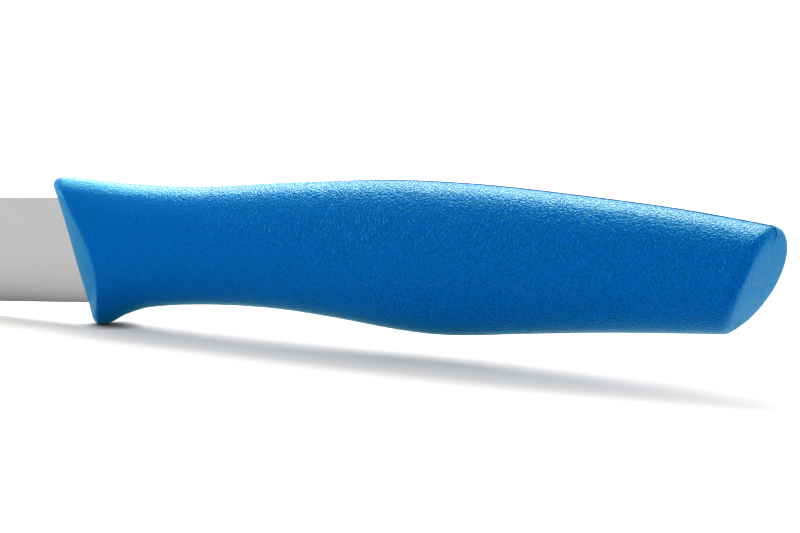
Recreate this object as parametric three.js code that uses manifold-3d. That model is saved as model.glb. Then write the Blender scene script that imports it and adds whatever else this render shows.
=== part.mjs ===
// Paring knife: a flat-ground steel blade whose tang is locked inside one plastic moulding, the handle.
// Millimetres, +Z up towards the spine, +X from the point to the butt, Y across the blade.
// While the pieces are made, Z = 0 is the straight cutting edge and X = 0 is where the handle meets it.
import * as THREE from "three";
import { mergeVertices } from "three/addons/utils/BufferGeometryUtils.js";
import Module from "manifold-3d";

const wasm = await Module();
wasm.setup();

// Blade
const BLADE_HEIGHT = 14.6; // spine to straight cutting edge
const POINT_X = -100; // the blade's point
const POINT_Z = 6.75; // the point sits just below the middle of the blade's height
const POINT_FLAT = 0.3; // height of the blunt end of the point
const EDGE_CURVE_X = -12; // the edge is straight behind this, and rises in one arc in front of it
const SPINE_CURVE_X = -55; // the spine is straight behind this, and drops in front of it
const SPINE_CURVE_POWER = 2.3;
const SPINE_THICKNESS = 1.5;
const SHOULDER_THICKNESS = 0.36; // where the flat grind meets the sharpened bevel
const EDGE_THICKNESS = 0.06;
const BEVEL_HEIGHT = 1.3; // height of the sharpened bevel
const BEVEL_FULL_X = -4.4; // the bevel has its full height in front of this
const BEVEL_END_X = -1.9; // and runs out here, just before the handle
const STUB_END_X = 6; // the full-height blade ends here, inside the handle

// Tang, the part of the blade's steel that the handle hides
const TANG_END_X = 76;
const TANG_HEIGHT = 9;
const TANG_MIDDLE_Z = 7.2;
const TANG_FILLET = 2.5; // inside corners where the stub narrows to the tang
const TANG_HOLE_RADIUS = 2.6;
const TANG_HOLES_X = [24, 43, 62];

// Handle outlines, as points along X: top and bottom in the middle plane, and half the width
const HANDLE_TOP = [
  [-6, 17.47],
  [-1.5, 17.28],
  [8, 16.42],
  [19, 16.13],
  [34, 16.88],
  [50, 17.36],
  [64, 16.84],
  [78, 15.57],
  [94, 13.76],
  [110, 11.29],
];
const HANDLE_BOTTOM = [
  [-1.5, -2.99],
  [2.5, -2.81],
  [5.7, -1.6],
  [10, -0.48],
  [20, -0.02],
  [30, -0.39],
  [39, -1.45],
  [50, -3.11],
  [57.5, -3.67],
  [68, -3.36],
  [82, -3.0],
  [104, -2.97],
];
const HANDLE_HALF_WIDTH = [
  [-4, 5.6],
  [4, 5.8],
  [18, 6.2],
  [36, 6.9],
  [54, 7.3],
  [76, 7.0],
  [96, 6.5],
  [110, 6.1],
];
const NOSE_LEAN = 0.263; // how far the nose leans forward for each millimetre up
const NOSE_SWEEP = 1.12; // how far the nose is swept back for each millimetre to the side
const NOSE_RIDGE_RADIUS = 1.0;
const NOSE_EDGE_RADIUS = 1.2;
const BUTT_RADIUS = 35.3; // the butt is one shallow arc in the side view
const BUTT_CENTRE_X = 74.2;
const BUTT_CENTRE_Z = 21.1;
const BUTT_EDGE_RADIUS = 1.2;
const TANG_CLEARANCE = 0.2; // between the steel and the moulding, all round

// How finely the curved surfaces are faceted
const BLADE_STATIONS = 36;
const SECTION_SIDES = 48;
const BODY_RINGS = 30;
const ROUNDING_STEPS = 4;
const NOSE_COLUMNS = 6;
const HOLE_SEGMENTS = 32;

// A smooth function of x through points in order, with slopes taken from the neighbouring points.
function curveThrough(points) {
  const last = points.length - 1;
  const slopes = points.map((_, i) => {
    const [x0, y0] = points[Math.max(0, i - 1)];
    const [x1, y1] = points[Math.min(last, i + 1)];
    return (y1 - y0) / (x1 - x0);
  });
  return (x) => {
    const next = points.findIndex((p) => p[0] > x);
    const k = next < 0 ? last - 1 : Math.max(0, next - 1);
    const [x0, y0] = points[k];
    const [x1, y1] = points[k + 1];
    const span = x1 - x0;
    const t = (x - x0) / span;
    const rise = 3 * t ** 2 - 2 * t ** 3;
    const leave = t ** 3 - 2 * t ** 2 + t;
    const arrive = t ** 3 - t ** 2;
    return (
      y0 +
      (y1 - y0) * rise +
      span * (slopes[k] * leave + slopes[k + 1] * arrive)
    );
  };
}

// A closed geometry as a solid that can be joined and cut.
function solidOf(geometry) {
  const bare = geometry.clone();
  bare.deleteAttribute("normal");
  bare.deleteAttribute("uv");
  const merged = mergeVertices(bare, 1e-4);
  return new wasm.Manifold(
    new wasm.Mesh({
      numProp: 3,
      vertProperties: merged.attributes.position.array,
      triVerts: new Uint32Array(merged.index.array),
    }),
  );
}

// A solid's surface as a geometry.
function geometryOf(solid) {
  const { numProp, vertProperties, triVerts } = solid.getMesh();
  const corners = new Float32Array((vertProperties.length / numProp) * 3);
  for (let i = 0; i < corners.length / 3; i++)
    corners.set(
      vertProperties.subarray(i * numProp, i * numProp + 3),
      i * 3,
    );
  return new THREE.BufferGeometry()
    .setAttribute("position", new THREE.BufferAttribute(corners, 3))
    .setIndex(new THREE.BufferAttribute(triVerts, 1));
}

function geometryFrom(points, triangles) {
  return new THREE.BufferGeometry()
    .setAttribute("position", new THREE.Float32BufferAttribute(points.flat(), 3))
    .setIndex(triangles.flat());
}

// Joins rings that all have the same number of points into a closed skin, apart from the two ends.
function skinBetween(rings, count, triangles) {
  for (let r = 0; r + 1 < rings; r++)
    for (let j = 0; j < count; j++) {
      const a = r * count + j;
      const b = r * count + ((j + 1) % count);
      triangles.push([a, b, a + count], [b, b + count, a + count]);
    }
}

// The cutting edge: straight at the heel, then one arc up to the point.
function edgeZ(x) {
  const run = Math.max(0, EDGE_CURVE_X - x);
  const reach = EDGE_CURVE_X - POINT_X;
  const rise = POINT_Z - POINT_FLAT / 2;
  const radius = (reach ** 2 + rise ** 2) / (2 * rise);
  return radius - Math.sqrt(radius ** 2 - run ** 2);
}

// The spine: straight at the heel, then falling ever faster to the point.
function spineZ(x) {
  const share = Math.max(0, (SPINE_CURVE_X - x) / (SPINE_CURVE_X - POINT_X));
  const drop = BLADE_HEIGHT - (POINT_Z + POINT_FLAT / 2);
  return BLADE_HEIGHT - drop * share ** SPINE_CURVE_POWER;
}

// Half the blade's thickness on its flat-ground sides, which are two planes.
function flankHalf(z) {
  const slope = (SPINE_THICKNESS - SHOULDER_THICKNESS) / BLADE_HEIGHT;
  return (SHOULDER_THICKNESS + slope * z) / 2;
}

// Height of the sharpened bevel, which runs out in a short sweep before the handle and thins at the point.
function bevelHeight(x) {
  const runOut = THREE.MathUtils.smoothstep(x, BEVEL_FULL_X, BEVEL_END_X);
  const room = 0.45 * (spineZ(x) - edgeZ(x));
  return Math.min(BEVEL_HEIGHT, room) * (1 - runOut);
}

// The blade from its point to the end of the stub in the handle. Growth swells it all round by a clearance.
function bladeSolid(growth) {
  const stations = [];
  for (let i = 0; i <= BLADE_STATIONS; i++)
    stations.push(
      POINT_X + (BEVEL_FULL_X - POINT_X) * (i / BLADE_STATIONS) ** 1.4,
    );
  const runOutMiddle = (BEVEL_FULL_X + BEVEL_END_X) / 2;
  stations.push(runOutMiddle, BEVEL_END_X, STUB_END_X + growth);
  const ring = 6;
  const points = stations.flatMap((x) => {
    const edge = edgeZ(x);
    const shoulder = edge + Math.max(bevelHeight(x), 0.01);
    const spine = spineZ(x);
    const keen = x < BEVEL_END_X ? EDGE_THICKNESS / 2 : flankHalf(edge);
    const half = [
      [spine + growth, flankHalf(spine) + growth],
      [shoulder, flankHalf(shoulder) + growth],
      [edge - growth, keen + growth],
    ];
    const near = half.map(([z, y]) => [x, -y, z]);
    const far = half.map(([z, y]) => [x, y, z]).reverse();
    return [...near, ...far];
  });
  const triangles = [];
  skinBetween(stations.length, ring, triangles);
  const end = (stations.length - 1) * ring;
  for (let j = 1; j + 1 < ring; j++)
    triangles.push([0, j + 1, j], [end, end + j, end + j + 1]);
  return solidOf(geometryFrom(points, triangles));
}

// The tang's plate, with the holes that the plastic bridges. Growth swells the plate and shrinks the holes.
function tangSolid(growth) {
  const half = TANG_HEIGHT / 2 + growth;
  const low = TANG_MIDDLE_Z - half;
  const high = TANG_MIDDLE_Z + half;
  const rootX = STUB_END_X - TANG_FILLET - growth;
  const stubX = STUB_END_X + growth;
  const tailX = TANG_END_X + growth - half;
  const fillet = TANG_FILLET - growth;
  const filletX = STUB_END_X + TANG_FILLET;
  const filletLow = low - fillet;
  const filletHigh = high + fillet;
  const outline = new THREE.Shape();
  outline.moveTo(rootX, filletLow - growth);
  outline.lineTo(stubX, filletLow - growth);
  outline.absarc(filletX, filletLow, fillet, Math.PI, Math.PI / 2, true);
  outline.absarc(tailX, TANG_MIDDLE_Z, half, -Math.PI / 2, Math.PI / 2, false);
  outline.absarc(filletX, filletHigh, fillet, -Math.PI / 2, -Math.PI, true);
  outline.lineTo(stubX, filletHigh + growth);
  outline.lineTo(rootX, filletHigh + growth);
  outline.closePath();
  for (const x of TANG_HOLES_X)
    outline.holes.push(
      new THREE.Path().absarc(
        x,
        TANG_MIDDLE_Z,
        TANG_HOLE_RADIUS - growth,
        0,
        2 * Math.PI,
        true,
      ),
    );
  const thickness = SPINE_THICKNESS + 2 * growth;
  const plate = new THREE.ExtrudeGeometry(outline, {
    depth: thickness,
    bevelEnabled: false,
    curveSegments: HOLE_SEGMENTS / 2,
  });
  plate.rotateX(Math.PI / 2).translate(0, thickness / 2, 0);
  return solidOf(plate);
}

function bladeAndTang(growth) {
  return bladeSolid(growth).add(tangSolid(growth));
}

const topZ = curveThrough(HANDLE_TOP);
const bottomZ = curveThrough(HANDLE_BOTTOM);
const halfWidth = curveThrough(HANDLE_HALF_WIDTH);

// The nose: a leaning ridge in the middle plane, swept back on both sides.
function noseX(y, z) {
  const sweep = Math.hypot(y, NOSE_RIDGE_RADIUS) - NOSE_RIDGE_RADIUS;
  return NOSE_SWEEP * sweep - NOSE_LEAN * z;
}

// The butt: square across the handle, and one arc in the side view.
function buttX(z) {
  const drop = z - BUTT_CENTRE_Z;
  return BUTT_CENTRE_X + Math.sqrt(BUTT_RADIUS ** 2 - drop ** 2);
}

// A point of the oval section at x, at an angle from the top, drawn in from the surface by inset.
function sectionPoint(x, angle, inset) {
  const high = topZ(x) - inset;
  const low = bottomZ(x) + inset;
  const width = halfWidth(x) - inset;
  return {
    y: -width * Math.sin(angle),
    z: (high + low) / 2 + ((high - low) / 2) * Math.cos(angle),
  };
}

// One ring of the handle's skin. Share runs from 0 at the nose to 1 at the butt, and shift moves it along X.
function handleRing(share, shift, inset) {
  const ring = [];
  for (let j = 0; j < SECTION_SIDES; j++) {
    const angle = (2 * Math.PI * j) / SECTION_SIDES;
    let x = share * (BUTT_CENTRE_X + BUTT_RADIUS);
    let spot = sectionPoint(x, angle, inset);
    for (let settle = 0; settle < 12; settle++) {
      const front = noseX(spot.y, spot.z);
      x = front + share * (buttX(spot.z) - front) + shift;
      spot = sectionPoint(x, angle, inset);
    }
    ring.push([x, spot.y, spot.z]);
  }
  return ring;
}

// Closes an end ring with a ladder of faces from the near side of the middle plane to the far side.
function capEnd(points, start, columns, faceX, facing, triangles) {
  const rows = SECTION_SIDES / 2;
  const index = [];
  for (let j = 0; j <= rows; j++) {
    const near = start + j;
    const far = start + ((SECTION_SIDES - j) % SECTION_SIDES);
    const [, y, z] = points[near];
    const row = [near];
    for (let c = 1; c < columns && j > 0 && j < rows; c++) {
      const across = y * (1 - (2 * c) / columns);
      row.push(points.push([faceX(across, z), across, z]) - 1);
    }
    row.push(far);
    index.push(row);
  }
  const add = (a, b, c) => triangles.push(facing < 0 ? [a, b, c] : [a, c, b]);
  for (let j = 0; j < rows; j++) {
    const upper = index[j];
    const lower = index[j + 1];
    for (let c = 0; c < columns; c++) {
      const at = (row, k) => row[row.length === 2 ? Math.min(k, 1) : k];
      if (j > 0) add(at(upper, c), at(upper, c + 1), at(lower, c));
      if (j + 1 < rows) add(at(upper, c + 1), at(lower, c + 1), at(lower, c));
    }
  }
}

// The handle's outside, with rounded edges round the nose and the butt.
function handleOutside() {
  const rings = [];
  const rounding = (step) => (step / ROUNDING_STEPS) * (Math.PI / 2);
  for (let k = 0; k < ROUNDING_STEPS; k++) {
    const turn = rounding(k);
    const shift = NOSE_EDGE_RADIUS * (1 - Math.cos(turn));
    rings.push(handleRing(0, shift, NOSE_EDGE_RADIUS * (1 - Math.sin(turn))));
  }
  const length = BUTT_CENTRE_X + BUTT_RADIUS;
  const first = NOSE_EDGE_RADIUS / length;
  const last = 1 - BUTT_EDGE_RADIUS / length;
  for (let i = 0; i <= BODY_RINGS; i++)
    rings.push(handleRing(first + (last - first) * (i / BODY_RINGS), 0, 0));
  for (let k = ROUNDING_STEPS - 1; k >= 0; k--) {
    const turn = rounding(k);
    const shift = -BUTT_EDGE_RADIUS * (1 - Math.cos(turn));
    rings.push(handleRing(1, shift, BUTT_EDGE_RADIUS * (1 - Math.sin(turn))));
  }
  const points = rings.flat();
  const triangles = [];
  skinBetween(rings.length, SECTION_SIDES, triangles);
  capEnd(points, 0, NOSE_COLUMNS, noseX, -1, triangles);
  const buttStart = (rings.length - 1) * SECTION_SIDES;
  capEnd(points, buttStart, 1, (_, z) => buttX(z), 1, triangles);
  return solidOf(geometryFrom(points, triangles));
}

// The moulding: its outside, less the room for the steel. Where the tang has holes, the plastic bridges them.
function handleSolid() {
  return handleOutside().subtract(bladeAndTang(TANG_CLEARANCE));
}

function namedMesh(name, solid, material) {
  const mesh = new THREE.Mesh(geometryOf(solid), material);
  mesh.name = name;
  return mesh;
}

const groundSteel = new THREE.MeshStandardMaterial({
  color: 0xbcbcbc,
  metalness: 1,
  roughness: 0.38,
});
const bluePolypropylene = new THREE.MeshStandardMaterial({
  color: 0x0064ae,
  metalness: 0,
  roughness: 0.55,
});

const knife = new THREE.Group();
knife.name = "paring_knife";
knife.add(namedMesh("blade", bladeAndTang(0), groundSteel));
knife.add(namedMesh("handle", handleSolid(), bluePolypropylene));

// The origin is the middle of the bounding box, at the level of the lowest point.
const box = new THREE.Box3().setFromObject(knife);
const middle = box.getCenter(new THREE.Vector3());
knife.position.set(-middle.x, -middle.y, -box.min.z);

export default knife;
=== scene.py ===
import math

import bmesh
import bpy
from bpy.props import FloatProperty, FloatVectorProperty, PointerProperty
from mathutils import Matrix, Vector


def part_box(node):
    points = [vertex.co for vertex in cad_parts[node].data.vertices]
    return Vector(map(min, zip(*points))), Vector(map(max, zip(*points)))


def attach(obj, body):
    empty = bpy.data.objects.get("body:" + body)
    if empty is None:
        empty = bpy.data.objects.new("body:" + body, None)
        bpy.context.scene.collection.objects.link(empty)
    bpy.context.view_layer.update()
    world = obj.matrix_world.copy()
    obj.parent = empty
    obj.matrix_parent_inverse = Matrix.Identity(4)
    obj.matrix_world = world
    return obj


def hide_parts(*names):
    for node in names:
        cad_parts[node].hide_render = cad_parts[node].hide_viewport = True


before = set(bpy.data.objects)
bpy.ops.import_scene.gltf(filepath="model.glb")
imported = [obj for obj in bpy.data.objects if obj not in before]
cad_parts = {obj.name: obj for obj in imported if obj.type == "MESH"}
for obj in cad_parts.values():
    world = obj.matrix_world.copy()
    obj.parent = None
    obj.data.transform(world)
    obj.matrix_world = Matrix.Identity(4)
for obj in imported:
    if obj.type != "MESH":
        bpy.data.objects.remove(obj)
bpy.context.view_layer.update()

bl_info = {
    "name": "Paring Knife",
    "version": (1, 0, 0),
    "blender": (4, 5, 0),
    "location": "3D View > Sidebar > Knife",
    "description": "Models a paring knife with a ground steel blade and a grained plastic handle",
    "category": "Add Mesh",
}

# Lengths in the outlines are millimetres from the heel: X towards the butt, Z up to the spine.
# The near side of the knife is at -Y.
MM = 0.001
BLADE_LENGTH = 100.0
BLADE_LOW, BLADE_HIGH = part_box("blade")
HEEL = Vector((BLADE_LOW.x + BLADE_LENGTH * MM, 0.0, BLADE_LOW.z))

POINT_Z = 6.75
POINT_FLAT = 0.3
EDGE_CURVE_X = -12.0
SPINE_CURVE_X = -55.0
SPINE_CURVE_POWER = 2.3
SHOULDER_THICKNESS = 0.21
EDGE_THICKNESS = 0.06
BEVEL_ROWS = (0.0, 0.08, 0.2, 0.36, 0.58, 0.8)
BEVEL_CURVE_POWER = 3
BEVEL_SHARE_AT_POINT = 0.45
BEVEL_FULL_X = -0.6
BEVEL_END_X = 1.4
STUB_END_X = 6.0
GRIND_ROWS = 5
BLADE_STEPS = 64
BLADE_STEP_POWER = 1.25
RUN_OUT_STEPS = 12
SPINE_SEGMENTS = 3
BLADE_SMOOTHING = math.radians(4)

TANG_START_X = 3.5
TANG_END_X = 76.0
TANG_HEIGHT = 9.0
TANG_MIDDLE_Z = 7.2
TANG_TAIL_ROUNDING = 0.98
TANG_TAIL_SEGMENTS = 12
TANG_HOLE_RADIUS = 2.6
TANG_HOLE_DEPTH = 6.0
TANG_HOLE_SIDES = 40
TANG_HOLES_X = (24.0, 43.0, 62.0)
TANG_CLEARANCE = 0.02
TANG_ROOM_FRONT_X = -10.0

HANDLE_TOP = (
    (-6, 17.47), (-1.5, 17.28), (8, 16.42), (19, 16.13), (34, 16.88),
    (50, 17.36), (64, 16.84), (78, 15.57), (94, 13.76), (110, 11.29),
)
HANDLE_BOTTOM = (
    (-1.5, -2.99), (2.5, -2.93), (5.7, -1.6), (10, -0.48), (20, -0.02), (30, -0.39),
    (39, -1.45), (50, -3.11), (57.5, -3.67), (68, -3.36), (82, -3.0), (104, -2.97),
)
HANDLE_HALF_WIDTH = (
    (-4, 5.6), (4, 5.8), (18, 6.2), (36, 6.9), (54, 7.3), (76, 7.0), (96, 6.5), (110, 6.1),
)
NOSE_LEAN = 0.263
NOSE_SWEEP = 1.12
NOSE_HOLLOW = 0.14
NOSE_HOLLOW_Z = 6.3
NOSE_HOLLOW_REACH = 7.5
NOSE_RIDGE_RADIUS = 1.0
NOSE_TIP_RADIUS = 1.2
NOSE_TIP_POWER = 8
LIP_REACH = 1.1
LIP_POWER = 4
LIP_CLEARANCE = 0.3
BUTT_RADIUS = 35.3
BUTT_CENTRE_X = 74.2
BUTT_CENTRE_Z = 21.1
BUTT_EDGE_RADIUS = 1.2
HANDLE_REACH = BUTT_CENTRE_X + BUTT_RADIUS
MOULD_LINE_START_X = (30.0, 62.0)
MOULD_LINE_ON_BUTT_Z = (9.0, 10.4)
MOULD_LINE_BELOW = 0.5

# Columns of the handle's skin beside the middle plane. The narrow inner ones carry the mould line.
SKIN_COLUMNS = (-2.6, -1.2, -0.3, -0.06, 0.0, 0.06, 0.3, 1.2, 2.6)
LINE_COLUMNS_REACH = 1.0
SKIN_ROWS = 28
SKIN_ROUNDS = 14
NOSE_STEPS = 6
BODY_STEPS = 84
BUTT_STEPS = 6
HANDLE_SMOOTHING = math.radians(40)

# Scales of the steel's grinding lines along X, Y and Z and of its clouds, per metre.
GRIND_LINES = (9000, 400, 160)
STEEL_CLOUDS = 120.0
GRIND_LINE_DEPTH = 0.00002
STEEL_SHADES = (0.96, 1.04)
STEEL_ROUGHNESS = (0.17, 0.27)

# The plastic's grain, with the painted shade in its pits, fades and its gloss softens from here to the
# nose.
FULL_GRAIN_X = 50.0
NECK_GRAIN_AND_SHADE = 0.32
NECK_ROUGHNESS = 0.27
TAIL_ROUGHNESS = 0.2
NOISE_PER_PEBBLE = 1.6
PEBBLE_RANGE = (0.28, 0.72)
# Darker and lighter copies of the plastic's colour: painted shade in the grain's pits and painted light on
# its tops.
PAINTED_PIT_SHADE_AND_TOP_LIGHT = (0.57, 1.29)

# The floor's colour in the light it throws back, in gloss, and to the eye.
FLOOR_PALE = (0.76, 0.76, 0.76)
FLOOR_IN_GLOSS = (0.5, 0.5, 0.5)
FLOOR_WHITE = (0.8, 0.783, 0.745)
FLOOR_SIZE = 6.0

# How far from the knife the floor is painted darker as a painted shadow, in its light and gloss and to the
# eye.
FLOOR_PAINTED_SHADE_REACH = 0.008
FLOOR_CONTACT_SHADOW_REACH = 0.0025

# Places of the lamps in the row frame, and their sizes, in metres.
LIGHT_AIM = (0.046, 0.0, 0.009)
KEY_PLACE = (-0.4, 0.62, 0.93)
KEY_SIZE = (0.62, 0.8)
CARD_PLACE = (-0.465, 0.91, 0.65)
CARD_SIZE = (0.7, 0.3)
BUTT_LIGHT_PLACE = (0.9, 0.5, 0.3)
BUTT_LIGHT_SIZE = (0.5, 0.4)
POINT_LIGHT_PLACE = (-1.1, -0.14, 0.3)
POINT_LIGHT_SIZE = (0.4, 0.3)

# The strip behind is warm, so that its gloss on the blue plastic is nearly white.
CARD_COLOUR = (1.0, 0.66, 0.58)

# The room is a little brighter behind the knife, off its point and low down.
ROOM_BRIGHT_SIDE = (-0.5, 0.9, -0.45)
ROOM_RAMP = (-1.0, 0.9)
ROOM_LEVELS = (1.25, 1.7)

# The middle of the picture, as a point of the outlines.
PICTURE_MIDDLE = (49.6122, 0.0, 5.5487)
SENSOR_WIDTH = 36.0
CAMERA_CLIP_END = 20.0


class KnifeBladeSettings(bpy.types.PropertyGroup):
    """Sizes and colour of the blade"""

    height: FloatProperty(
        name="Height",
        description="From the straight cutting edge to the spine",
        default=BLADE_HIGH.z - BLADE_LOW.z,
        unit="LENGTH",
    )
    thickness: FloatProperty(
        name="Spine Thickness",
        description="Thickness of the steel at the spine and in the tang",
        default=BLADE_HIGH.y - BLADE_LOW.y,
        unit="LENGTH",
    )
    bevel: FloatProperty(
        name="Bevel Height",
        description="Height over which the sides curve in to the cutting edge",
        default=0.0024,
        unit="LENGTH",
    )
    spine_round: FloatProperty(
        name="Spine Rounding",
        description="How far the corners of the spine are eased",
        default=0.00016,
        unit="LENGTH",
    )
    steel: FloatVectorProperty(
        name="Steel",
        description="Colour of the satin ground steel",
        default=(0.5, 0.5, 0.5),
        subtype="COLOR",
        min=0.0,
        max=1.0,
    )


class KnifeHandleSettings(bpy.types.PropertyGroup):
    """Finish of the moulded handle"""

    crease: FloatProperty(
        name="Nose Crease",
        description="Edge radius where the nose meets the handle's sides",
        default=0.0003,
        unit="LENGTH",
    )
    mould_line: FloatProperty(
        name="Mould Line",
        description="How far the line left by the mould stands proud along the middle plane",
        default=0.00011,
        unit="LENGTH",
    )
    grain: FloatProperty(
        name="Grain Size",
        description="Size of one pebble of the mould's grain",
        default=0.00048,
        unit="LENGTH",
    )
    grain_depth: FloatProperty(
        name="Grain Depth",
        description="Depth of the mould's grain",
        default=0.000085,
        unit="LENGTH",
    )
    plastic: FloatVectorProperty(
        name="Plastic",
        description="Colour of the plastic",
        default=(0.0, 0.054, 0.318),
        subtype="COLOR",
        min=0.0,
        max=1.0,
    )


class KnifeStageSettings(bpy.types.PropertyGroup):
    """Camera, floor and light"""

    yaw: FloatProperty(
        name="Yaw",
        description="How far the camera stands towards the butt from square on",
        default=math.radians(30.0),
        subtype="ANGLE",
    )
    elevation: FloatProperty(
        name="Elevation",
        description="Camera's height above the floor's horizon",
        default=math.radians(10.0),
        subtype="ANGLE",
    )
    lift: FloatProperty(
        name="Lift",
        description="How far the floor falls away from the edge line towards the butt",
        default=math.radians(4.368),
        subtype="ANGLE",
    )
    distance: FloatProperty(
        name="Distance",
        description="From the camera to the middle of the picture",
        default=1.8,
        unit="LENGTH",
    )
    lens: FloatProperty(
        name="Lens",
        description="Focal length in millimetres on a 36 mm sensor",
        default=601.0,
    )
    key_power: FloatProperty(
        name="Key Power",
        description="Power of the large softbox above and behind",
        default=19.5,
        unit="POWER",
    )
    card_power: FloatProperty(
        name="Gloss Card Power",
        description="Power of the strip behind that shows only as gloss along the handle's top",
        default=10.0,
        unit="POWER",
    )
    butt_power: FloatProperty(
        name="Butt End Power",
        description="Power of the light off the butt",
        default=2.6,
        unit="POWER",
    )
    point_power: FloatProperty(
        name="Point End Power",
        description="Power of the light off the point",
        default=4.6,
        unit="POWER",
    )


def curve_through(points):
    """A smooth function of x through the points, with slopes taken from the neighbouring points."""
    last = len(points) - 1
    slopes = []
    for i in range(last + 1):
        x0, y0 = points[max(0, i - 1)]
        x1, y1 = points[min(last, i + 1)]
        slopes.append((y1 - y0) / (x1 - x0))

    def value(x):
        k = 0
        while k < last - 1 and points[k + 1][0] <= x:
            k += 1
        x0, y0 = points[k]
        x1, y1 = points[k + 1]
        span = x1 - x0
        t = (x - x0) / span
        bow = slopes[k] * (t**3 - 2 * t**2 + t) + slopes[k + 1] * (t**3 - t**2)
        return y0 + (y1 - y0) * (3 * t**2 - 2 * t**3) + span * bow

    return value


top_z = curve_through(HANDLE_TOP)
bottom_z = curve_through(HANDLE_BOTTOM)
half_width = curve_through(HANDLE_HALF_WIDTH)


def smooth_step(low, high, x):
    t = min(1.0, max(0.0, (x - low) / (high - low)))
    return t * t * (3 - 2 * t)


def in_row(x, y, z):
    """A point of the outlines, in the row frame and in metres."""
    return HEEL + Vector((x, y, z)) * MM


def runs_along(edge, axis):
    run = edge.verts[1].co - edge.verts[0].co
    return abs(run[axis]) > 0.99 * run.length


def cut_box(name, low, high, cells):
    """A box from one corner to the other, its edges along X, Y and Z subdivided into cells."""
    bpy.ops.object.select_all(action="DESELECT")
    bpy.ops.mesh.primitive_cube_add(size=1.0, location=(low + high) / 2, scale=high - low)
    piece = bpy.context.object
    piece.name = name
    piece.data.name = name
    bpy.ops.object.transform_apply(location=True, rotation=True, scale=True)
    bpy.ops.object.mode_set(mode="EDIT")
    bpy.ops.mesh.select_mode(type="EDGE")
    for axis, count in enumerate(cells):
        if count < 2:
            continue
        bpy.ops.mesh.select_all(action="DESELECT")
        mesh = bmesh.from_edit_mesh(piece.data)
        for edge in mesh.edges:
            edge.select_set(runs_along(edge, axis))
        bmesh.update_edit_mesh(piece.data)
        bpy.ops.mesh.subdivide(number_cuts=count - 1)
    bpy.ops.object.mode_set(mode="OBJECT")
    return piece


def cells_of(piece, low, high, cells):
    """Each vertex of a cut box with its cell corner, counted along X, Y and Z."""
    for vertex in piece.data.vertices:
        share = [(vertex.co[n] - low[n]) / (high[n] - low[n]) for n in range(3)]
        yield vertex, *[round(share[n] * cells[n]) for n in range(3)]


def make_active(piece):
    bpy.ops.object.select_all(action="DESELECT")
    piece.select_set(True)
    bpy.context.view_layer.objects.active = piece


def combine(piece, other, operation):
    """Joins another closed form to the piece or cuts it out, and removes the other."""
    make_active(piece)
    bpy.ops.object.modifier_add(type="BOOLEAN")
    modifier = piece.modifiers[-1]
    modifier.operation = operation
    modifier.solver = "EXACT"
    modifier.object = other
    bpy.ops.object.modifier_apply(modifier=modifier.name)
    bpy.data.objects.remove(other)


def edge_z(x):
    reach = EDGE_CURVE_X + BLADE_LENGTH
    rise = POINT_Z - POINT_FLAT / 2
    radius = (reach**2 + rise**2) / (2 * rise)
    return radius - math.sqrt(radius**2 - max(0.0, EDGE_CURVE_X - x) ** 2)


def spine_z(x, height):
    share = max(0.0, (SPINE_CURVE_X - x) / (SPINE_CURVE_X + BLADE_LENGTH))
    return height - (height - POINT_Z - POINT_FLAT / 2) * share**SPINE_CURVE_POWER


def ground_plate(name, settings, swell, front_x):
    """The blade from front_x to the end of its stub in the handle, swollen all round by a clearance."""
    height = settings.height / MM
    thickness = settings.thickness / MM
    ground = BEVEL_FULL_X - front_x
    run_out = BEVEL_END_X - BEVEL_FULL_X
    shares = [(i / BLADE_STEPS) ** BLADE_STEP_POWER for i in range(BLADE_STEPS + 1)]
    stations = [front_x + ground * share for share in shares]
    stations += [BEVEL_FULL_X + run_out * i / RUN_OUT_STEPS for i in range(1, RUN_OUT_STEPS + 1)]
    stations += [(BEVEL_END_X + STUB_END_X) / 2, STUB_END_X + swell]
    rows = len(BEVEL_ROWS) + GRIND_ROWS
    cells = (len(stations) - 1, 1, rows)
    corners = in_row(front_x, -thickness / 2, 0), in_row(STUB_END_X, thickness / 2, height)
    piece = cut_box(name, *corners, cells)
    spine = {0: set(), 1: set()}

    def half_thickness(z):
        return (SHOULDER_THICKNESS + (thickness - SHOULDER_THICKNESS) * z / height) / 2

    for vertex, i, j, k in cells_of(piece, *corners, cells):
        x = stations[i]
        low = edge_z(x)
        high = spine_z(x, height)
        bevel = min(settings.bevel / MM, BEVEL_SHARE_AT_POINT * (high - low))
        shoulder = low + bevel
        z = shoulder + (high - shoulder) * (k - len(BEVEL_ROWS)) / GRIND_ROWS
        if k < len(BEVEL_ROWS):
            z = low + bevel * BEVEL_ROWS[k]
        half = half_thickness(z)
        if k < len(BEVEL_ROWS) and not swell:
            full = 1 - smooth_step(BEVEL_FULL_X, BEVEL_END_X, x)
            most = full * (half_thickness(low) - EDGE_THICKNESS / 2)
            half -= most * (1 - BEVEL_ROWS[k]) ** BEVEL_CURVE_POWER
        z += swell * ((k == rows) - (k == 0))
        vertex.co = in_row(x, (half + swell) * (1 if j else -1), z)
        if k == rows:
            spine[j].add(vertex.index)
    if not swell:
        make_active(piece)
        bpy.ops.object.mode_set(mode="EDIT")
        bpy.ops.mesh.select_all(action="DESELECT")
        mesh = bmesh.from_edit_mesh(piece.data)
        for edge in mesh.edges:
            ends = {v.index for v in edge.verts}
            edge.select_set(ends <= spine[0] or ends <= spine[1])
        bmesh.update_edit_mesh(piece.data)
        bpy.ops.mesh.bevel(offset=settings.spine_round, segments=SPINE_SEGMENTS, affect="EDGES")
        bpy.ops.object.mode_set(mode="OBJECT")
    return piece


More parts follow.
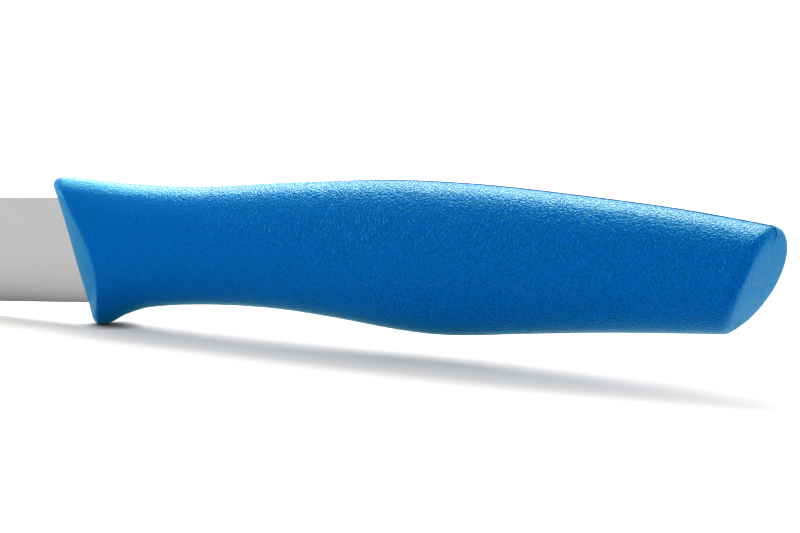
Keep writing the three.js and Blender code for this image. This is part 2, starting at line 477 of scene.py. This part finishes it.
def tang_plate(settings, swell):
    """The tang with its round tail and its holes, swollen all round by a clearance."""
    half_height = TANG_HEIGHT / 2 + swell
    half_thick = settings.thickness / MM / 2 + swell
    low = in_row(TANG_START_X - swell, -half_thick, TANG_MIDDLE_Z - half_height)
    high = in_row(TANG_END_X + swell, half_thick, TANG_MIDDLE_Z + half_height)
    tang = cut_box("tang", low, high, (1, 1, 1))
    make_active(tang)
    tail_x = in_row(TANG_END_X, 0, 0).x
    bpy.ops.object.mode_set(mode="EDIT")
    bpy.ops.mesh.select_all(action="DESELECT")
    mesh = bmesh.from_edit_mesh(tang.data)
    for edge in mesh.edges:
        edge.select_set(runs_along(edge, 1) and edge.verts[0].co.x > tail_x - MM)
    bmesh.update_edit_mesh(tang.data)
    rounding = TANG_TAIL_ROUNDING * half_height * MM
    bpy.ops.mesh.bevel(offset=rounding, segments=TANG_TAIL_SEGMENTS, affect="EDGES")
    bpy.ops.object.mode_set(mode="OBJECT")
    for x in TANG_HOLES_X:
        bpy.ops.object.select_all(action="DESELECT")
        bpy.ops.mesh.primitive_cylinder_add(
            vertices=TANG_HOLE_SIDES,
            radius=(TANG_HOLE_RADIUS - swell) * MM,
            depth=TANG_HOLE_DEPTH * MM,
            location=in_row(x, 0, TANG_MIDDLE_Z),
            rotation=(math.pi / 2, 0, 0),
        )
        hole = bpy.context.object
        bpy.ops.object.transform_apply(location=True, rotation=True, scale=True)
        combine(tang, hole, "DIFFERENCE")
    return tang


def steel_form(name, settings, swell, front_x):
    blade = ground_plate(name, settings, swell, front_x)
    combine(blade, tang_plate(settings, swell), "UNION")
    return blade


def nose_x(y, z):
    """The nose: it leans, and its two faces sweep back from the middle, most of all at half height."""
    sweep = NOSE_SWEEP + NOSE_HOLLOW * (1 - ((z - NOSE_HOLLOW_Z) / NOSE_HOLLOW_REACH) ** 2)
    return sweep * (math.hypot(y, NOSE_RIDGE_RADIUS) - NOSE_RIDGE_RADIUS) - NOSE_LEAN * z


def butt_x(z):
    return BUTT_CENTRE_X + math.sqrt(BUTT_RADIUS**2 - (z - BUTT_CENTRE_Z) ** 2)


def skin_angle(j, k, width):
    """Angle from the top of the oval for a cell on the skin, positive towards the far side."""
    columns = len(SKIN_COLUMNS) - 1
    corner = math.asin(SKIN_COLUMNS[-1] / width)
    if k in (0, SKIN_ROWS):
        turn = math.asin(SKIN_COLUMNS[j] / width)
        return turn if k else math.pi - turn
    side = corner + (math.pi - 2 * corner) * (1 - k / SKIN_ROWS)
    return side if j == columns else -side


def skin_point(share, edge, j, k, mould_line):
    """A point on the handle's skin. Share runs from nose to butt, and edge gives the rounding there."""
    on_line = k in (0, SKIN_ROWS) and SKIN_COLUMNS[j] == 0
    mould_line *= smooth_step(*MOULD_LINE_START_X, share * HANDLE_REACH)
    x = share * HANDLE_REACH
    y = z = 0.0
    for _ in range(SKIN_ROUNDS):
        width = half_width(x)
        angle = skin_angle(j, k, width)
        radius, reach, turn = edge(angle)
        under = mould_line * (1 + math.cos(angle)) / 2
        if on_line:
            under = 0.0 if k else -MOULD_LINE_BELOW * mould_line
        inset = radius * (1 - math.sin(turn)) + under
        high = top_z(x) - inset
        low = bottom_z(x) + inset
        y = (width - inset) * math.sin(angle)
        z = (high + low) / 2 + (high - low) / 2 * math.cos(angle)
        front = nose_x(y, z)
        shift = reach * (1 - math.cos(turn))
        if share == 1:
            shift += under
        x = front + share * (butt_x(z) - front) + (shift if share < 0.5 else -shift)
    return Vector((x, y, z))


def handle_stations(settings):
    """Share and edge rounding of each ring of the skin, from the nose to the butt."""
    crease = settings.crease / MM
    quarter = math.pi / 2

    def nose_edge(turn):
        def rounding(angle):
            radius = crease + (NOSE_TIP_RADIUS - crease) * math.cos(angle) ** NOSE_TIP_POWER
            return radius, radius + LIP_REACH * max(0.0, math.cos(angle)) ** LIP_POWER, turn

        return rounding

    def butt_edge(turn):
        return lambda angle: (BUTT_EDGE_RADIUS, BUTT_EDGE_RADIUS, turn)

    def no_edge(angle):
        return 0.0, 0.0, quarter

    rings = [(0.0, nose_edge(quarter * s / NOSE_STEPS)) for s in range(NOSE_STEPS + 1)]
    first = (NOSE_TIP_RADIUS + LIP_REACH + LIP_CLEARANCE) / HANDLE_REACH
    last = 1 - BUTT_EDGE_RADIUS / HANDLE_REACH
    rings += [(first + (last - first) * s / BODY_STEPS, no_edge) for s in range(BODY_STEPS + 1)]
    rings += [(1.0, butt_edge(quarter * s / BUTT_STEPS)) for s in reversed(range(BUTT_STEPS))]
    return rings


def moulded_skin(settings):
    """The handle's outside: a cut box whose cells are laid on the oval sections, the nose and the butt."""
    rings = handle_stations(settings)
    columns = len(SKIN_COLUMNS) - 1
    cells = (len(rings) - 1, columns, SKIN_ROWS)
    mould_line = settings.mould_line / MM
    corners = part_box("handle")
    piece = cut_box("handle_moulding", *corners, cells)
    for vertex, i, j, k in cells_of(piece, *corners, cells):
        share, edge = rings[i]
        if j in (0, columns) or k in (0, SKIN_ROWS):
            spot = skin_point(share, edge, j, k, mould_line)
        else:
            side = skin_point(share, edge, columns, k, mould_line)
            offset = SKIN_COLUMNS[j]
            y = offset
            if abs(offset) >= LINE_COLUMNS_REACH:
                y = offset * side.y / SKIN_COLUMNS[-1]
            x = nose_x(y, side.z)
            if share > 0.5:
                under = mould_line * (1 - math.cos(math.pi * k / SKIN_ROWS)) / 2
                proud = smooth_step(*MOULD_LINE_ON_BUTT_Z, side.z) if offset == 0 else 0.0
                x = butt_x(side.z) - under * (1 - proud)
            spot = Vector((x, y, side.z))
        spot = in_row(*spot)
        vertex.co = [min(max(spot[n], corners[0][n]), corners[1][n]) for n in range(3)]
    return piece


def node(tree, kind, place, **values):
    made = tree.nodes.new(kind)
    made.location = place
    for key, value in values.items():
        setattr(made, key, value)
    return made


def new_material(name):
    material = bpy.data.materials.new(name)
    material.use_nodes = True
    tree = material.node_tree
    tree.nodes.clear()
    output = node(tree, "ShaderNodeOutputMaterial", (900, 0))
    shader = node(tree, "ShaderNodeBsdfPrincipled", (600, 0))
    tree.links.new(shader.outputs["BSDF"], output.inputs["Surface"])
    return material, tree, shader


def shade_of(colour, share):
    return (*[min(1.0, c * share) for c in colour], 1)


def satin_steel(settings):
    """Ground steel: fine lines from the spine to the edge, and a faint cloudiness."""
    material, tree, shader = new_material("satin_ground_steel")
    link = tree.links.new
    place = node(tree, "ShaderNodeTexCoord", (-900, 0))
    lay = node(tree, "ShaderNodeMapping", (-700, 100))
    lay.inputs["Scale"].default_value = GRIND_LINES
    lines = node(tree, "ShaderNodeTexNoise", (-500, 100))
    lines.inputs["Scale"].default_value = 1.0
    lines.inputs["Detail"].default_value = 3.0
    cloud = node(tree, "ShaderNodeTexNoise", (-500, -200))
    cloud.inputs["Scale"].default_value = STEEL_CLOUDS
    cloud.inputs["Detail"].default_value = 4.0
    link(place.outputs["Object"], lay.inputs["Vector"])
    link(lay.outputs["Vector"], lines.inputs["Vector"])
    link(place.outputs["Object"], cloud.inputs["Vector"])
    rough = node(tree, "ShaderNodeMapRange", (-200, 100))
    rough.inputs["To Min"].default_value = STEEL_ROUGHNESS[0]
    rough.inputs["To Max"].default_value = STEEL_ROUGHNESS[1]
    link(lines.outputs["Fac"], rough.inputs["Value"])
    link(rough.outputs["Result"], shader.inputs["Roughness"])
    tint = node(tree, "ShaderNodeMixRGB", (200, 250))
    tint.inputs["Color1"].default_value = shade_of(settings.steel, STEEL_SHADES[0])
    tint.inputs["Color2"].default_value = shade_of(settings.steel, STEEL_SHADES[1])
    link(cloud.outputs["Fac"], tint.inputs["Fac"])
    link(tint.outputs["Color"], shader.inputs["Base Color"])
    bump = node(tree, "ShaderNodeBump", (300, -250))
    bump.inputs["Strength"].default_value = 0.08
    bump.inputs["Distance"].default_value = GRIND_LINE_DEPTH
    link(lines.outputs["Fac"], bump.inputs["Height"])
    link(bump.outputs["Normal"], shader.inputs["Normal"])
    shader.inputs["Metallic"].default_value = 1.0
    return material


def along_handle(tree, place, x, neck, tail):
    """A value that changes along the handle, from the heel to where the grain is full."""
    ramp = node(tree, "ShaderNodeMapRange", place)
    ramp.inputs["From Min"].default_value = in_row(0, 0, 0).x
    ramp.inputs["From Max"].default_value = in_row(FULL_GRAIN_X, 0, 0).x
    ramp.inputs["To Min"].default_value = neck
    ramp.inputs["To Max"].default_value = tail
    tree.links.new(x, ramp.inputs["Value"])
    return ramp.outputs["Result"]


def grained_plastic(settings):
    """Moulded plastic with a pebbled grain, painted darker in its pits as painted shade and lighter on its
    tops as painted light. It is smoother at the neck.
    """
    material, tree, shader = new_material("grained_blue_plastic")
    link = tree.links.new
    place = node(tree, "ShaderNodeTexCoord", (-1100, 0))
    pebble = node(tree, "ShaderNodeTexNoise", (-850, 150))
    pebble.inputs["Scale"].default_value = NOISE_PER_PEBBLE / settings.grain
    pebble.inputs["Detail"].default_value = 1.2
    pebble.inputs["Roughness"].default_value = 0.55
    link(place.outputs["Object"], pebble.inputs["Vector"])
    relief = node(tree, "ShaderNodeMapRange", (-600, 150))
    relief.inputs["From Min"].default_value = PEBBLE_RANGE[0]
    relief.inputs["From Max"].default_value = PEBBLE_RANGE[1]
    link(pebble.outputs["Fac"], relief.inputs["Value"])
    bump = node(tree, "ShaderNodeBump", (250, -300))
    bump.inputs["Distance"].default_value = settings.grain_depth
    link(relief.outputs["Result"], bump.inputs["Height"])
    link(bump.outputs["Normal"], shader.inputs["Normal"])
    along = node(tree, "ShaderNodeSeparateXYZ", (-850, 450))
    link(place.outputs["Object"], along.inputs["Vector"])
    x = along.outputs["X"]
    grain_and_painted_shade_share = along_handle(tree, (-600, 450), x, NECK_GRAIN_AND_SHADE, 1.0)
    # Painted shade and light: the colour is darker in the grain's pits and lighter on its tops, less so at
    # the neck.
    painted_pit_shade = node(tree, "ShaderNodeMix", (-300, 350))
    painted_pit_shade.inputs["A"].default_value = 0.5
    link(grain_and_painted_shade_share, painted_pit_shade.inputs["Factor"])
    link(grain_and_painted_shade_share, bump.inputs["Strength"])
    link(relief.outputs["Result"], painted_pit_shade.inputs["B"])
    colour = node(tree, "ShaderNodeMixRGB", (150, 250))
    colour.inputs["Color1"].default_value = shade_of(settings.plastic, PAINTED_PIT_SHADE_AND_TOP_LIGHT[0])
    colour.inputs["Color2"].default_value = shade_of(settings.plastic, PAINTED_PIT_SHADE_AND_TOP_LIGHT[1])
    link(painted_pit_shade.outputs["Result"], colour.inputs["Fac"])
    link(colour.outputs["Color"], shader.inputs["Base Color"])
    roughness = along_handle(tree, (150, 0), x, NECK_ROUGHNESS, TAIL_ROUGHNESS)
    link(roughness, shader.inputs["Roughness"])
    shader.inputs["IOR"].default_value = 1.12
    shader.inputs["Specular Tint"].default_value = (0.0, 9.4, 7.6, 1.0)
    shader.inputs["Sheen Weight"].default_value = 0.32
    shader.inputs["Sheen Roughness"].default_value = 0.5
    shader.inputs["Sheen Tint"].default_value = (0.0, 1.0, 0.9, 1.0)
    return material


def pale_floor():
    """Matt pale floor with a shade each for the light it throws back, for gloss and for the eye, each with
    painted shadow near the knife.
    """
    material = bpy.data.materials.new("pale_floor")
    material.use_nodes = True
    tree = material.node_tree
    tree.nodes.clear()
    link = tree.links.new
    output = node(tree, "ShaderNodeOutputMaterial", (600, 0))
    matt = node(tree, "ShaderNodeBsdfDiffuse", (300, 0))
    path = node(tree, "ShaderNodeLightPath", (-700, 0))
    gloss = node(tree, "ShaderNodeMath", (-500, -100), operation="MAXIMUM")
    in_gloss = node(tree, "ShaderNodeMixRGB", (-250, -100))
    in_gloss.inputs["Color1"].default_value = (*FLOOR_PALE, 1)
    in_gloss.inputs["Color2"].default_value = (*FLOOR_IN_GLOSS, 1)
    # Painted shadow: the floor is darker near the knife, under it for light and gloss, and where it
    # touches for the eye.
    under = node(tree, "ShaderNodeAmbientOcclusion", (-100, -150))
    under.inputs["Distance"].default_value = FLOOR_PAINTED_SHADE_REACH
    painted_contact_shadow = node(tree, "ShaderNodeAmbientOcclusion", (-100, 150))
    painted_contact_shadow.inputs["Distance"].default_value = FLOOR_CONTACT_SHADOW_REACH
    painted_contact_shadow.inputs["Color"].default_value = (*FLOOR_WHITE, 1)
    to_eye = node(tree, "ShaderNodeMixRGB", (100, 0))
    link(path.outputs["Is Glossy Ray"], gloss.inputs[0])
    link(path.outputs["Is Transmission Ray"], gloss.inputs[1])
    link(gloss.outputs["Value"], in_gloss.inputs["Fac"])
    link(in_gloss.outputs["Color"], under.inputs["Color"])
    link(under.outputs["Color"], to_eye.inputs["Color1"])
    link(painted_contact_shadow.outputs["Color"], to_eye.inputs["Color2"])
    link(path.outputs["Is Camera Ray"], to_eye.inputs["Fac"])
    link(to_eye.outputs["Color"], matt.inputs["Color"])
    link(matt.outputs["BSDF"], output.inputs["Surface"])
    return material


def white_room(world):
    """A plain white room, a little brighter on one side."""
    world.use_nodes = True
    tree = world.node_tree
    tree.nodes.clear()
    output = node(tree, "ShaderNodeOutputWorld", (900, 0))
    glow = node(tree, "ShaderNodeBackground", (700, 0))
    place = node(tree, "ShaderNodeTexCoord", (-500, 0))
    depth = node(tree, "ShaderNodeVectorMath", (-300, 0), operation="DOT_PRODUCT")
    depth.inputs[1].default_value = ROOM_BRIGHT_SIDE
    level = node(tree, "ShaderNodeMapRange", (-100, 0))
    level.inputs["From Min"].default_value = ROOM_RAMP[0]
    level.inputs["From Max"].default_value = ROOM_RAMP[1]
    level.inputs["To Min"].default_value = ROOM_LEVELS[0]
    level.inputs["To Max"].default_value = ROOM_LEVELS[1]
    tree.links.new(place.outputs["Generated"], depth.inputs[0])
    tree.links.new(depth.outputs["Value"], level.inputs["Value"])
    tree.links.new(level.outputs["Result"], glow.inputs["Strength"])
    tree.links.new(glow.outputs["Background"], output.inputs["Surface"])


def add_softbox(name, place, across, size, power):
    """A soft lamp that faces the handle, its first size along the across direction."""
    place = Vector(place)
    back = (place - Vector(LIGHT_AIM)).normalized()
    side = (across - back * across.dot(back)).normalized()
    facing = Matrix((side, back.cross(side), back)).transposed().to_euler()
    bpy.ops.object.select_all(action="DESELECT")
    bpy.ops.object.light_add(type="AREA", location=place, rotation=facing)
    lamp = bpy.context.object
    lamp.name = name
    lamp.data.shape = "RECTANGLE"
    lamp.data.size, lamp.data.size_y = size
    lamp.data.energy = power
    lamp.visible_camera = False
    return lamp


def add_lamps(settings):
    """One large lamp above and behind, a strip for gloss, and a lamp off each end."""
    along = Vector((1, 0, 0))
    deep = Vector((0, 1, 0))
    add_softbox("key_softbox", KEY_PLACE, along, KEY_SIZE, settings.key_power)
    card = add_softbox("gloss_card", CARD_PLACE, along, CARD_SIZE, settings.card_power)
    card.visible_diffuse = False
    card.data.color = CARD_COLOUR
    add_softbox("butt_end_light", BUTT_LIGHT_PLACE, deep, BUTT_LIGHT_SIZE, settings.butt_power)
    add_softbox("point_end_light", POINT_LIGHT_PLACE, deep, POINT_LIGHT_SIZE, settings.point_power)


def add_floor(lift):
    """A floor that falls away towards the butt and touches the lowest corner of the knife."""
    up = Vector((math.sin(lift), 0, math.cos(lift)))
    level = min(up @ v.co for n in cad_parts.values() for v in n.data.vertices)
    bpy.ops.object.select_all(action="DESELECT")
    bpy.ops.mesh.primitive_plane_add(size=FLOOR_SIZE, rotation=(0, lift, 0), location=up * level)
    floor = bpy.context.object
    floor.name = "floor"
    bpy.ops.object.transform_apply(location=True, rotation=True, scale=True)
    floor.data.materials.append(pale_floor())
    return floor


def add_camera(settings):
    """A camera turned by its yaw and elevation, and tilted with the floor."""
    yaw = settings.yaw
    rise = settings.elevation
    across = Vector((math.cos(yaw), math.sin(yaw), 0))
    outward = Vector((math.sin(yaw) * math.cos(rise), -math.cos(yaw) * math.cos(rise), math.sin(rise)))
    tilt = Matrix.Rotation(settings.lift, 3, "Y")
    right = tilt @ across
    back = tilt @ outward
    facing = Matrix((right, back.cross(right), back)).transposed().to_4x4()
    place = in_row(*PICTURE_MIDDLE) + back * settings.distance
    bpy.ops.object.select_all(action="DESELECT")
    bpy.ops.object.camera_add()
    camera = bpy.context.object
    camera.name = "studio_camera"
    camera.matrix_world = Matrix.Translation(place) @ facing
    camera.data.sensor_width = SENSOR_WIDTH
    camera.data.sensor_fit = "HORIZONTAL"
    camera.data.lens = settings.lens
    camera.data.clip_end = CAMERA_CLIP_END
    return camera


class KNIFE_OT_blade(bpy.types.Operator):
    """Model the ground blade with its tang"""

    bl_idname = "knife.blade"
    bl_label = "Blade"

    def execute(self, context):
        settings = context.scene.knife_blade
        blade = steel_form("blade_and_tang", settings, 0.0, -BLADE_LENGTH)
        make_active(blade)
        bpy.ops.object.shade_smooth_by_angle(angle=BLADE_SMOOTHING)
        blade.data.materials.clear()
        blade.data.materials.append(satin_steel(settings))
        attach(blade, "root")
        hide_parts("blade")
        return {"FINISHED"}


class KNIFE_OT_handle(bpy.types.Operator):
    """Model the moulded handle around the tang"""

    bl_idname = "knife.handle"
    bl_label = "Handle"

    def execute(self, context):
        settings = context.scene.knife_handle
        handle = moulded_skin(settings)
        blade_settings = context.scene.knife_blade
        room = steel_form("tang_room", blade_settings, TANG_CLEARANCE, TANG_ROOM_FRONT_X)
        combine(handle, room, "DIFFERENCE")
        make_active(handle)
        bpy.ops.object.shade_smooth_by_angle(angle=HANDLE_SMOOTHING)
        handle.data.materials.clear()
        handle.data.materials.append(grained_plastic(settings))
        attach(handle, "root")
        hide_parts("handle")
        return {"FINISHED"}


class KNIFE_OT_stage(bpy.types.Operator):
    """Set the floor, the lights and the camera"""

    bl_idname = "knife.stage"
    bl_label = "Stage"

    def execute(self, context):
        scene = context.scene
        settings = scene.knife_stage
        floor = add_floor(settings.lift)
        add_lamps(settings)
        scene.world = scene.world or bpy.data.worlds.new("studio")
        white_room(scene.world)
        scene.camera = add_camera(settings)
        scene.view_settings.view_transform = "Standard"
        return {"FINISHED"}


class KNIFE_PT_sidebar(bpy.types.Panel):
    """Sizes, colours and steps of the knife"""

    bl_label = "Paring Knife"
    bl_idname = "KNIFE_PT_sidebar"
    bl_space_type = "VIEW_3D"
    bl_region_type = "UI"
    bl_category = "Knife"

    def draw(self, context):
        for operator, group in (
            ("knife.blade", context.scene.knife_blade),
            ("knife.handle", context.scene.knife_handle),
            ("knife.stage", context.scene.knife_stage),
        ):
            box = self.layout.box()
            box.operator(operator)
            for name in group.bl_rna.properties.keys():
                if name not in ("rna_type", "name"):
                    box.prop(group, name)


CLASSES = (
    KnifeBladeSettings,
    KnifeHandleSettings,
    KnifeStageSettings,
    KNIFE_OT_blade,
    KNIFE_OT_handle,
    KNIFE_OT_stage,
    KNIFE_PT_sidebar,
)


def register():
    for cls in CLASSES:
        bpy.utils.register_class(cls)
    bpy.types.Scene.knife_blade = PointerProperty(type=KnifeBladeSettings)
    bpy.types.Scene.knife_handle = PointerProperty(type=KnifeHandleSettings)
    bpy.types.Scene.knife_stage = PointerProperty(type=KnifeStageSettings)


def unregister():
    del bpy.types.Scene.knife_stage
    del bpy.types.Scene.knife_handle
    del bpy.types.Scene.knife_blade
    for cls in reversed(CLASSES):
        bpy.utils.unregister_class(cls)


def main():
    register()
    bpy.ops.knife.blade()
    bpy.ops.knife.handle()
    bpy.ops.knife.stage()


if __name__ == "__main__":
    main()
